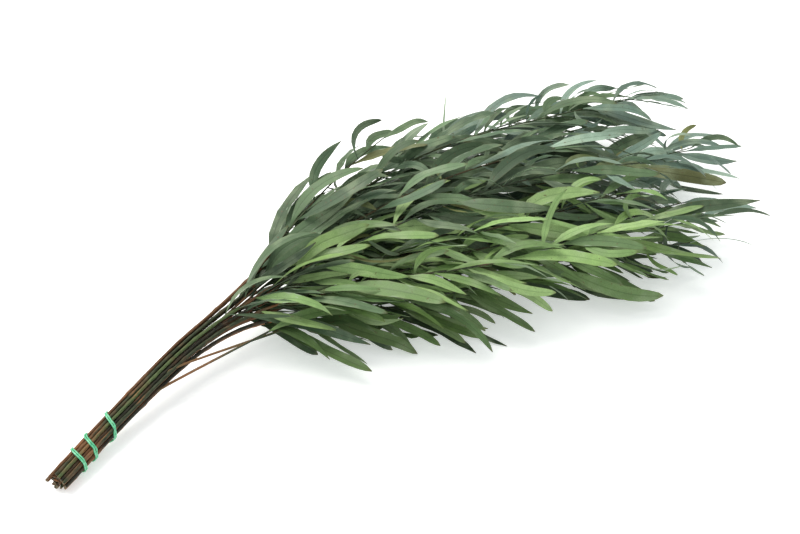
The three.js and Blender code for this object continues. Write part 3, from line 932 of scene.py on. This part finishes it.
fine_stems = [smooth_line(line, STEM_POINTS) for line, _ in stems.values()]


def twig_line(points):
    """A twig's line, led back to the woody stem that it forks from."""
    stem, at = min(((line, i) for line in fine_stems for i in range(len(line))),
                   key=lambda found: (found[0][found[1]] - points[0]).length)
    return [stem[max(at - TUCK, 0)], *points]


def buds_between(leaves, line):
    """The points of a twig's line that lie halfway from one packed leaf to the next."""
    bases = sorted((leaf["curve"][0] for leaf in leaves), key=lambda p: p.x)
    halfway = [(before + after) / 2 for before, after in zip(bases, bases[1:])]
    return [min(line, key=lambda p: (p - spot).length) for spot in halfway]


print("stems to fork from:", len(fine_stems))

# %% Grow the shoots
TWIG_SIDES = 7
TWIG_STEP = 6 * MM
TWIG_END_RADIUS = 0.5 * MM
TWIG_LEAST_STEPS = 12
TWIG_FULLER = 1.25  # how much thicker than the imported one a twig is, bark and all
TWIG_SWELL = 9.5 * MM  # a radian of the swelling and thinning along a twig
TWIG_TONES = ["#2f3c24", "#3b462a", "#4b3c29", "#28331f", "#54482f", "#364232"]
EXTRA_ROUNDS = 3  # how many times each bud is tried
LEAF_TURN = 2.4  # radians round the twig from one bud's leaf to the next
FOOT_STEPS, FOOT_LEAVES = 20, 2  # of that many steps along a woody stem, the last ones bear leaves

feet = {name.replace("woody_stem", "leafy_shoot"): line for name, (line, _) in stems.items()}


def grow_shoot(node):
    """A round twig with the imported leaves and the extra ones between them."""
    twig, leaves = shoots[node]
    points = [p for p, _ in twig]
    line = twig_line(points[:-1:2] + points[-1:])
    length = length_of(line)
    smooth = smooth_line(line, max(TWIG_LEAST_STEPS, round(length / TWIG_STEP)))
    start_radius, phase = twig[0][1] / TWIG_CORNER * TWIG_FULLER, chance.uniform(0, 6.28)
    shape = bmesh.new()
    tone_layer = shape.verts.layers.float_color.new("tone")
    leaf_layers = tone_layer, shape.loops.layers.uv.new("leaf")
    bark_layers = tone_layer, shape.loops.layers.uv.new("along_stem")

    def radius_at(t, turn):
        swell = 1 + 0.1 * math.sin(t * length / TWIG_SWELL + phase)
        return (start_radius + (TWIG_END_RADIUS - start_radius) * t) * swell

    add_tube(shape, smooth, radius_at, TWIG_SIDES, linear(chance.choice(TWIG_TONES)), bark_layers)
    for face in shape.faces:
        face.material_index = 2
    for leaf in leaves + [leaf for grown_on, leaf in standouts if grown_on == node and leaf]:
        add_leaf(shape, leaf, leaf_layers)
    buds = buds_between(leaves, smooth)
    if node in feet:
        buds = smooth_line(feet[node], FOOT_STEPS)[-FOOT_LEAVES:] + buds
    added = 0
    for k, bud in enumerate(buds * EXTRA_ROUNDS):
        at = k % len(buds)
        onward = (buds[min(at + 1, len(buds) - 1)] - buds[max(at - 1, 0)]).normalized()
        added += fill_bud(shape, bud, onward, k * LEAF_TURN + phase, leaf_layers)
    finish_piece(shape, node + "_grown", [leaf_face, leaf_back, twig_bark], node)
    return added


for name in shoot_names:
    for leaf in shoots[name][1]:
        settle_packed(leaf, family_of(middle(leaf["curve"])))
standouts = [standout(row) for row in STANDOUTS]
print("leaves that stand out:", sum(leaf is not None for _, leaf in standouts), "of", len(STANDOUTS))
added = sum(grow_shoot(name) for name in shoot_names)
print("leaves added:", added)

# %% [markdown]
# ## The elastic tie
#
# Florists hold a bunch with a rubber ring that is stretched, doubled and wound round the stems three
# times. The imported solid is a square-edged loop, so its rings of four corners give the line that the
# round elastic follows. Latex is smooth and slightly waxy, and it pales where it is stretched thin.


# %% Elastic
def elastic_material():
    """Coloured latex rubber: satin, with a faint bloom and a little light passing into it."""
    material, tree = new_material("mint_latex_rubber")
    place = add_node(tree, "TexCoord").outputs["Object"]
    bloom, fine = (add_node(tree, "TexNoise", {"Vector": place, "Scale": 1 / (size * MM),
                                               "Detail": 3.0}).outputs["Fac"] for size in (2.4, 0.4))
    mask = add_node(tree, "MapRange", {"Value": bloom, "From Min": 0.35, "From Max": 0.65})
    colour = add_node(tree, "Mix", {0: mask.outputs["Result"], 6: linear("#45b07e"), 7: linear("#83d3a9")},
                      data_type="RGBA").outputs[2]
    rough = add_node(tree, "MapRange", {"Value": bloom, "From Min": 0.3, "From Max": 0.7, "To Min": 0.34,
                                        "To Max": 0.48})
    bump = add_node(tree, "Bump", {"Height": fine, "Strength": 0.25, "Distance": 0.1 * MM})
    surface = add_node(tree, "BsdfPrincipled", {
        "Base Color": colour, "Roughness": rough.outputs["Result"], "IOR": 1.52,
        "Normal": bump.outputs["Normal"], "Subsurface Weight": 0.15, "Subsurface Scale": 1.5 * MM})
    add_node(tree, "OutputMaterial", {"Surface": surface.outputs["BSDF"]})
    return material


latex = elastic_material()
print("rubber:", latex.name)

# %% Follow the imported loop
RING_EDGE = 1.2 * MM  # a ring's edges are shorter than this, and the edges along the loop are longer


def ring_around(corner):
    """The corner and those of its ring, reached over short edges."""
    ring = [corner]
    for v in ring:
        ring += [o for o in neighbours([v]) if o not in ring and (o.co - v.co).length < RING_EDGE]
    return frozenset(ring)


def read_loop(node):
    """The line in the middle of a closed square tube, from the rings of four corners round it."""
    solid = merged_copy(node)
    ring_of = {}
    for v in solid.verts:
        if v not in ring_of:
            ring = ring_around(v)
            ring_of.update(dict.fromkeys(ring, ring))
    start = next(iter(ring_of.values()))
    order = [start]
    while True:
        onward = [r for r in {ring_of[o] for v in order[-1] for o in neighbours([v])} if r not in order]
        if not onward:
            break
        order.append(min(onward, key=lambda ring: tuple(middle(v.co for v in ring))))
    line = [middle(v.co for v in ring) for ring in order]
    solid.free()
    return line


loop_line = read_loop("elastic_tie")
print("elastic, round in mm:", round(length_of(loop_line) / MM))

# %% Round the elastic
ELASTIC_RADIUS = 0.75 * MM
ELASTIC_SIDES = 10
STEPS_BETWEEN = 4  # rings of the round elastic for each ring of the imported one

shape = bmesh.new()
layers = shape.verts.layers.float_color.new("tone"), shape.loops.layers.uv.new("along_stem")
around_loop = smooth_line(loop_line, len(loop_line) * STEPS_BETWEEN, closed=True)
add_tube(shape, around_loop, lambda t, turn: ELASTIC_RADIUS, ELASTIC_SIDES, (1, 1, 1, 1), layers)
caps = [f for f in shape.faces if len(f.verts) == ELASTIC_SIDES]
rims = [e for f in caps for e in f.edges]
bmesh.ops.delete(shape, geom=caps, context="FACES_ONLY")
bmesh.ops.bridge_loops(shape, edges=rims, use_merge=True, merge_factor=0.5)
for edge in shape.edges:
    edge.smooth = True
finish_piece(shape, "elastic_loop", [latex], "elastic_tie")
print("elastic, thick in mm:", 2 * ELASTIC_RADIUS / MM)
